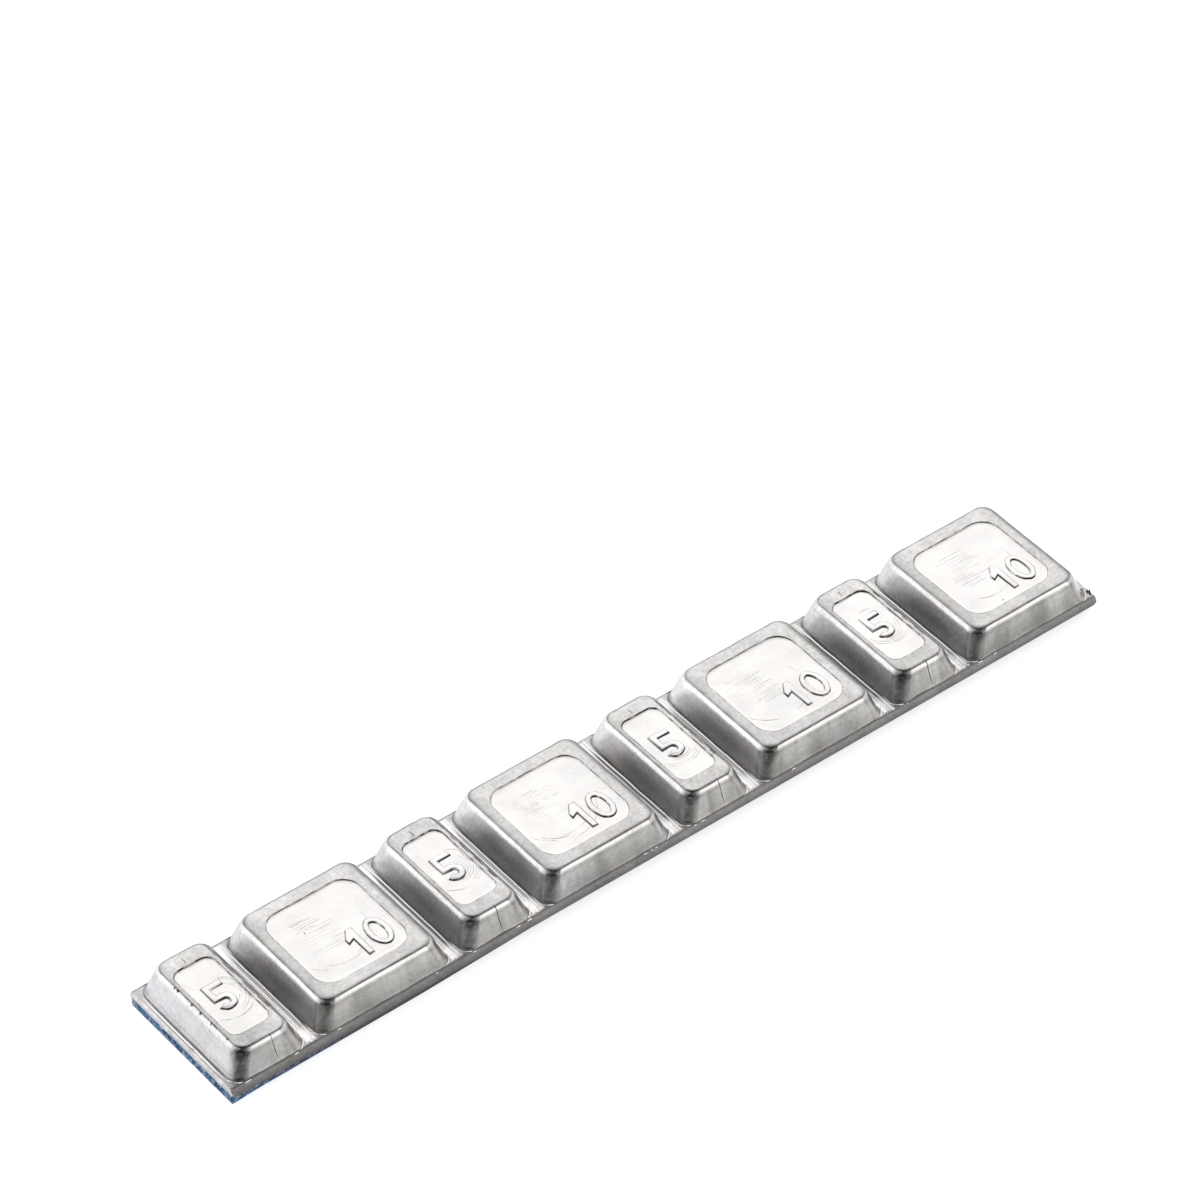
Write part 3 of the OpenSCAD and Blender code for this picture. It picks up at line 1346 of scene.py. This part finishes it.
@dataclass
class Seams:
    """The webs between the segments, and the parting line along the segments' feet."""

    segments: Sequence[Segment]
    level: float = FOOT_Z
    line_y: float = 9.05
    flash_y: float = 9.14
    count: int = 60
    parting: Coat = Coat(0.38, 0.5, 0.0)
    # The crease at the end faces' foot is painted shade
    crease: Coat = Coat(0.3, 0.6, 0.0)
    flash: Coat = Coat(0.95, 0.0, 0.5)
    lip: Coat = Coat(1.0, 0.0, 0.7)
    skin: Skin = field(default_factory=Skin)
    dice: random.Random = field(default_factory=lambda: random.Random(7))

    def foot_lines(self) -> None:
        """Draw the dark, wandering parting line and its bits of flash along both long sides."""
        dice = self.dice
        for seg in self.segments:
            half = seg.sizes.length / 2 - 0.7
            for side in (-1, 1):
                path = []
                for k in range(self.count + 1):
                    x = seg.middle - half + 2 * half * k / self.count
                    wave = max(0.0, 0.14 * wobble(x * 0.3, side * 4.0, 1.0) + 0.03)
                    wave = max(0.0, wave + 0.03 * wobble(x * 2.0, side * 4.0, 5.0))
                    path.append((x, side * (self.line_y - wave * 0.25), self.level - 0.03 + wave))
                self.skin.ridge(path, 0.065, 0.02, self.parting)
                for _ in range(dice.randint(1, 3)):
                    x = seg.middle + half * dice.choice((-1, 1)) * dice.uniform(0.55, 0.97) - 0.3
                    reach = dice.uniform(0.05, 0.16)
                    run = [
                        (x + reach * t, side * (self.flash_y + dice.uniform(-0.02, 0.02)), self.level - 0.1)
                        for t in range(6)
                    ]
                    self.skin.ridge(run, 0.1, 0.06, self.flash)

    def lips(self) -> None:
        """Roll a bright lip round the near corners of each foot."""
        for seg in self.segments:
            cy = -(seg.width / 2 - seg.corner)
            for side, start in ((1, -72), (-1, -108)):
                cx = seg.middle + side * (seg.sizes.length / 2 - seg.corner)
                spots = arc(cx, cy, seg.corner + 0.16, start, start + side * 62, 16)
                self.skin.ridge([(x, y, self.level) for x, y in spots], 0.16, 0.1, self.lip)

    def end_beads(self) -> None:
        """Lay a dark crease of painted shade and a bright bead along the foot of both end faces."""
        for seg, side in ((self.segments[0], -1), (self.segments[-1], 1)):
            foot = seg.middle + side * seg.sizes.length / 2
            for out, width, rise, coat in ((0.02, 0.09, 0.03, self.crease), (0.2, 0.24, 0.06, self.lip)):
                run = []
                for k in range(self.count + 1):
                    y = -7.5 + 15.0 * k / self.count
                    wave = 0.03 * wobble(y * 0.6, side * 3.0, out)
                    run.append((foot + side * (out + wave), y, self.level))
                self.skin.ridge(run, width, rise, coat)

    def build(self, material: bpy.types.Material) -> bpy.types.Object:
        """Make the seams.

        Args:
            material: The metal finish.

        Returns:
            The piece.
        """
        for number, (a, b) in enumerate(zip(self.segments, self.segments[1:]), start=1):
            left, right = a.middle + a.sizes.length / 2, b.middle - b.sizes.length / 2
            Web(left, right, number, self.skin, self.dice).build()
        self.foot_lines()
        self.lips()
        self.end_beads()
        return self.skin.piece("seams", material, "cast_metal")


@dataclass
class Blemishes:
    """Nicks, pits and the burr that the strip got after casting.

    The nicks' rows are the place across the end face and how many there are. Each pit's row is its place.
    """

    first: Segment
    dent: Coat = Coat(0.15, 1.0, 0.0)
    torn: Coat = Coat(0.9, 0.0, 0.5)
    nicks: tuple[tuple[float, int], ...] = (
        (3.7, 5), (2.0, 2), (0.9, 4), (-0.8, 3), (-2.9, 5), (-3.6, 2), (-5.6, 2)
    )
    panel_pits: tuple[tuple[float, float, float], ...] = (
        (-43.6, 1.8, 5.42), (-27.0, 3.3, 5.37), (50.2, -5.7, 5.42), (18.0, -1.0, 5.42)
    )
    wall_pits: tuple[tuple[float, float, float], ...] = (
        (-36.9, -8.25, 4.2), (-41.5, -8.62, 3.1), (-10.2, -8.4, 3.8)
    )
    skin: Skin = field(default_factory=Skin)
    dice: random.Random = field(default_factory=lambda: random.Random(19))

    def scratch(
        self, start: Sequence[float], step: Point2, width: float, height: float, coat: Coat
    ) -> None:
        """Lay a short straight line.

        Args:
            start: Where it begins.
            step: How far each of its six points lies from the last, along X and Y.
            width: Its full width.
            height: How far it stands up.
            coat: Its coat.
        """
        x, y, z = start
        self.skin.ridge([(x + step[0] * t, y + step[1] * t, z) for t in range(6)], width, height, coat)

    def edge_nicks(self) -> None:
        """Nick the top edge of the end face."""
        seg, dice = self.first, self.dice
        edge = [q for q in seg.ends if 0.3 < q.turn < 0.9]
        foot, top = seg.middle - seg.sizes.length / 2, seg.height - 0.03
        for middle, count in self.nicks:
            for _ in range(count):
                y, lean = middle + dice.gauss(0.0, 0.16), dice.uniform(-0.03, 0.03)
                low = dice.randint(0, 3)
                run = [
                    (foot + q.inset - 0.02, y + lean * k, seg.base_z + min(q.z, top))
                    for k, q in enumerate(edge[low:])
                ]
                width = dice.uniform(0.08, 0.2)
                self.skin.ridge(run, width, 0.05, self.dent.toward(self.torn, dice.random() * 0.35))

    def build(self, material: bpy.types.Material) -> bpy.types.Object:
        """Make the blemishes.

        Args:
            material: The metal finish.

        Returns:
            The piece.
        """
        dice = self.dice
        self.edge_nicks()
        # The chip in the flange's left end
        self.scratch((-61.45, -2.2, 2.08), (0.05, -0.3), 0.14, 0.04, self.torn)
        self.scratch((-61.3, -1.6, 2.08), (0.03, -0.1), 0.12, 0.04, self.dent)
        for place in self.panel_pits:
            self.scratch(place, (0.035, 0.02), 0.14, 0.02, self.dent)
        for place in self.wall_pits:
            self.scratch(place, (0.035, 0.0), 0.14, 0.02, self.dent)
        # The burr at the right end's near corner
        for _ in range(6):
            x, y = 61.2 + dice.uniform(-0.3, 0.1), -8.2 + dice.uniform(-0.6, 0.7)
            run = [(x + 0.03 * t, y + 0.08 * t * dice.uniform(0.5, 1.0), FOOT_Z) for t in range(6)]
            height = dice.uniform(0.1, 0.32)
            self.skin.ridge(run, 0.22, height, self.dent if dice.random() < 0.4 else self.torn)
        return self.skin.piece("blemishes", material, "cast_metal")


@dataclass
class Flange:
    """The thin plate that joins the segments, with its rounded long edges.

    The profile's rows are the inset and the end inset, the height and the height at the ends.
    """

    length: float = STRIP_LENGTH
    width: float = 19.0
    low_z: float = TAPE_TOP
    thick: float = 1.0
    corner: float = 0.35
    profile: tuple[tuple[float, float, float, float], ...] = (
        (0.0, 0.22, 0.0, 0.0), (0.0, 0.0, 0.2, 0.2), (0.0, 0.0, 0.35, 0.35), (0.05, 0.0, 0.52, 0.55),
        (0.14, 0.01, 0.7, 0.75), (0.28, 0.04, 0.86, 0.9), (0.44, 0.1, 0.96, 0.98), (0.6, 0.18, 1.0, 1.0),
    )
    web_coat: Coat = Coat(0.5, 0.0, 0.4, 0.8)
    # Painted shade: the long sides are dark, paler up the slope
    side_coat: Coat = Coat(0.135, 0.1, 0.1, 0.2)
    slope_coat: Coat = Coat(0.22, 0.05, 0.1, 0.85)
    lip_coat: Coat = Coat(0.55, 0.0, 0.3, 0.7)
    steps: Steps = (9, 220, 60)

    def end_coat(self, y: float, z: float) -> Coat:
        """Choose the coat of an end: mottled, with painted shade along its lower edge.

        Args:
            y: Place across the strip.
            z: Height above the tape, as a share of the flange's thickness.

        Returns:
            The coat.
        """
        spots = wobble(y * 0.9, z * 1.5, 6.0) + 0.7 * wobble(y * 3.5, z * 3.0, 8.0)
        plain = Coat((0.5 + 0.2 * z) * (1 + 0.3 * spots), 0.0, 0.1, 0.4 + 0.5 * spots)
        return plain.toward(self.side_coat, max(0.0, 0.8 - 2.6 * z))

    def build(self, material: bpy.types.Material) -> bpy.types.Object:
        """Make the flange.

        Args:
            material: The metal finish.

        Returns:
            The piece, which stands for the CAD casting together with the segments.
        """
        skin = Skin()
        half_l, half_w = self.length / 2, self.width / 2
        rings: list[list[int]] = []
        for inset, end_inset, rise, end_rise in self.profile:
            outline = rounded_outline(half_l - end_inset, half_w - inset, self.corner, self.steps)
            side = self.side_coat.toward(self.slope_coat, rise)
            side = side.toward(self.lip_coat, max(0.0, (inset - 0.3) / 0.3))
            ring: list[int] = []
            for (x, y), way in zip(outline, facing(outline)):
                end = math.cos(math.radians(way)) ** 2
                z = rise + (end_rise - rise) * end
                coat = side.toward(self.end_coat(y, z), end)
                coat = replace(coat, tone=coat.tone * (1.05 + 0.12 * x / half_l))
                ring.append(skin.point(x, y, z * self.thick, coat))
            rings.append(ring)
        for share in (0.995, 0.96, 0.6, 0.2):
            smaller = [(x * (0.985 + 0.015 * share), y * share) for x, y in outline]
            rings.append(skin.ring(smaller, self.thick, self.web_coat))
        skin.loft(rings)
        skin.cap(rings[-1])
        skin.move(0.0, 0.0, self.low_z)
        return skin.piece("flange", material, "cast_metal")


@dataclass
class FoamTape:
    """The foam tape under the flange, wider at the left end."""

    thick: float = TAPE_TOP
    pitch: float = 0.2
    levels: tuple[float, ...] = (0.0, 0.06, 0.2, 0.4, 0.6, 0.8, 0.95, 1.04, TAPE_TOP)
    corners: tuple[Point2, ...] = (
        (-61.52, -9.3), (-58.0, -9.15), (-36.0, -9.05), (-16.0, -8.55), (61.4, -8.5), (61.4, 9.1),
        (-61.52, 9.1),
    )

    def coat(self, x: float, y: float) -> Coat:
        """Choose the coat of a point: grey painted shade along the near side, from a little way in."""
        return Coat() if y > -8.0 else Coat(soil_and_shade=clamp(0.15 + (x + 60.5) / 21.0, high=0.95))

    def outline(self) -> list[Point2]:
        """Lay points along the tape's edge.

        Returns:
            The points, anticlockwise.
        """
        made: list[Point2] = []
        for a, b in zip(self.corners, self.corners[1:] + self.corners[:1]):
            count = max(1, round(math.dist(a, b) / self.pitch))
            made += [partway(a, b, k / count) for k in range(count)]
        return made

    def build(self, material: bpy.types.Material) -> bpy.types.Object:
        """Make the tape.

        Args:
            material: The foam finish.

        Returns:
            The piece, in the CAD tape's place.
        """
        skin = Skin()
        outline = self.outline()
        rings: list[list[int]] = []
        for z in self.levels:
            bulge = 0.05 * math.sin(math.pi * z / self.thick)
            rings.append(skin.ring(offset_outline(outline, 0.01 - bulge), z, Coat()))
        skin.loft(rings)
        skin.cap(rings[-1])
        for p in skin.points:
            if 0.01 < p.z < self.thick - 0.01:
                wander = noise.noise_vector(p / 0.35) * 0.045
                p.xy = p.x + wander.x, p.y + wander.y
        skin.coats = [self.coat(p.x, p.y) for p in skin.points]
        return skin.piece("tape_foam", material, "tape")


# The studio


@dataclass(frozen=True)
class Glow:
    """A soft part of the room that is brighter or darker than the rest; wide and core are degrees."""

    aim: tuple[float, float, float]
    wide: float
    core: float
    gain: float


@dataclass
class Studio:
    """The pale floor, the soft lights and the camera, in metres."""

    azimuth: float = -38.495
    elevation: float = 43.424
    distance: float = 0.66852
    aim: tuple[float, float, float] = (-0.00588, -0.0022, 0.03592)
    focal: float = 187.07
    floor_size: float = 3.0
    floor_colour: Colour = (0.62, 0.62, 0.62)
    floor_glow: float = 0.7
    key_place: tuple[float, float, float] = (0.36, 0.456, 0.552)
    key_size: float = 0.5
    key_power: float = 0.2
    level: float = 0.95
    white: float = 2.0
    glows: tuple[Glow, ...] = (
        Glow((-0.735, -0.676, 0.05), 48.0, 24.0, -0.92),
        Glow((0.25, 0.0, 0.97), 36.0, 20.0, -0.7),
        Glow((-0.8, 0.58, 0.15), 45.0, 20.0, 0.45),
        Glow((0.47, -0.78, 0.42), 35.0, 12.0, 0.4),
        Glow((0.45, 0.57, 0.69), 35.0, 12.0, 0.2),
    )

    def camera(self) -> None:
        """Place the camera at the photograph's viewing angle."""
        a, e = math.radians(self.azimuth), math.radians(self.elevation)
        back = Vector((math.sin(a) * math.cos(e), -math.cos(a) * math.cos(e), math.sin(e)))
        lens = bpy.data.cameras.new("camera")
        lens.sensor_width, lens.lens = 36.0, self.focal
        lens.clip_start, lens.clip_end = 0.01, 20.0
        made = placed("camera", lens)
        made.location = Vector(self.aim) + back * self.distance
        made.rotation_euler = back.to_track_quat("Z", "Y").to_euler()
        bpy.context.scene.camera = made

    def floor(self) -> None:
        """Lay a pale floor that shows as white wherever the part doesn't shade it."""
        material, shade = new_material("floor")
        rays = ("Camera", "Glossy", "Transmission")
        camera, glossy, through = (
            shade.node("ShaderNodeLightPath", output=f"Is {ray} Ray") for ray in rays
        )
        shade.principled({
            "Base Color": self.floor_colour,
            "Roughness": 0.9,
            "Specular IOR Level": 0.1,
            "Emission Color": shade.blend((camera + glossy + through).clamped(), BLACK, WHITE),
            "Emission Strength": self.floor_glow,
        })
        half = self.floor_size / 2
        mesh = bpy.data.meshes.new("floor")
        corners = [(-half, -half, 0), (half, -half, 0), (half, half, 0), (-half, half, 0)]
        mesh.from_pydata(corners, [], [(0, 1, 2, 3)])
        mesh.materials.append(material)
        placed("floor", mesh)

    def key(self) -> None:
        """Hang a square soft light that faces the part."""
        light = bpy.data.lights.new("key", "AREA")
        light.size, light.energy = self.key_size, self.key_power
        made = placed("key", light)
        made.location = self.key_place
        made.rotation_euler = Vector(self.key_place).to_track_quat("Z", "Y").to_euler()

    def world(self) -> None:
        """Surround the part with a white room of brighter and darker parts."""
        world = bpy.data.worlds.new("room")
        world.use_nodes = True
        bpy.context.scene.world = world
        shade = Shade(world.node_tree)
        way = shade.node("ShaderNodeTexCoord", output="Generated")
        strength: Wire | float = self.level
        for glow in self.glows:
            wide, core = (math.cos(math.radians(v)) for v in (glow.wide, glow.core))
            near = shade.along(way, Vector(glow.aim).normalized()).between(wide, core)
            strength = near * glow.gain + strength
        colour = shade.blend(strength * (1 / self.white), BLACK, (self.white, self.white, self.white))
        surface = shade.node("ShaderNodeBackground", None, {"Color": colour, "Strength": 1.0})
        shade.node("ShaderNodeOutputWorld", None, {"Surface": surface})

    def build(self) -> None:
        """Set up the whole studio."""
        self.camera()
        self.floor()
        self.world()
        self.key()
        bpy.context.scene.view_settings.view_transform = "Standard"


def main() -> None:
    """Build the strip, its tape and the studio."""
    logging.basicConfig(level=logging.INFO, format="%(name)s %(message)s")
    noise.seed_set(NOISE_SEED)
    Studio().build()
    metal = CastMetal().material()
    strip = Flange().build(metal)
    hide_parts("weight_strip")
    x = END_LEDGE - STRIP_LENGTH / 2
    segments: list[Segment] = []
    for number, kind in enumerate([SegmentKind.SMALL, SegmentKind.LARGE] * 4, start=1):
        length = KIND_SIZES[kind].length
        segment = Segment(kind, x + length / 2, number)
        x += length + WEB_GAP
        segments.append(segment)
        segment.build(metal)
        Figures(segment).build(metal)
        ToolMarks(segment).build(metal)
    Seams(segments).build(metal)
    Blemishes(segments[0]).build(metal)
    tape = FoamTape().build(TapeFoam().material())
    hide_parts("foam_tape")


if __name__ == "__main__":
    main()
